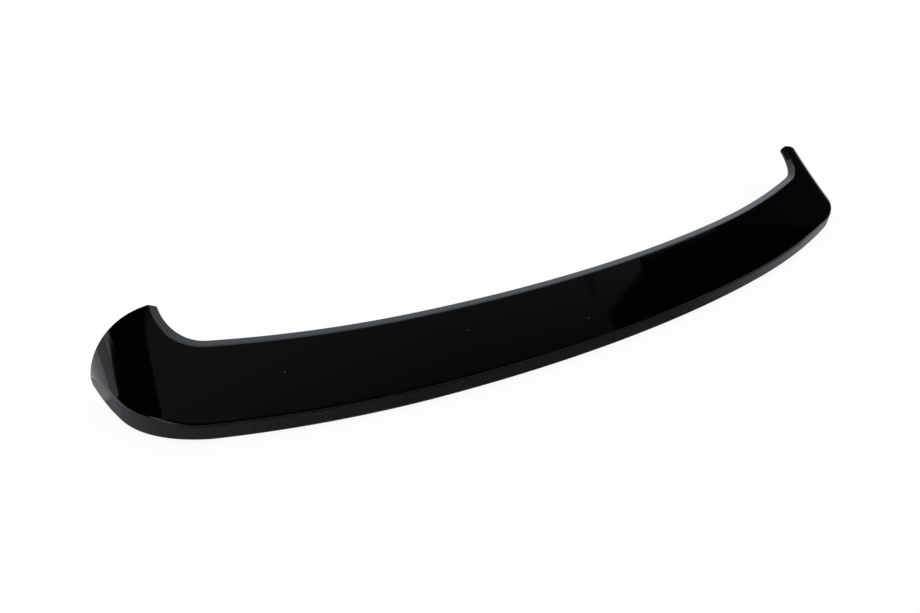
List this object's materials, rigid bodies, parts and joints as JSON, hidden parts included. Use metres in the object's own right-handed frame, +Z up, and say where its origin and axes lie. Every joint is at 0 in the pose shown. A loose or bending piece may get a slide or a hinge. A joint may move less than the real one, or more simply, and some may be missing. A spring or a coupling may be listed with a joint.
{
  "type": "roof spoiler cap",
  "caption": "Thin curved spoiler cap for a car's tailgate: a hollow-chorded blade with a bevelled front edge and an ear at each end, open underneath.",
  "frame": {"origin": "middle of the part's width and length, on the level that it stands on", "axes": "+X across the car to its right, +Y forward towards the roof, +Z up"},
  "size_m": [1.17, 0.1964, 0.094],
  "materials": {
    "gloss_black_abs": "polished black ABS"
  },
  "bodies": {
    "root": {"spoiler_cap": "gloss_black_abs"}
  },
  "joints": []
}
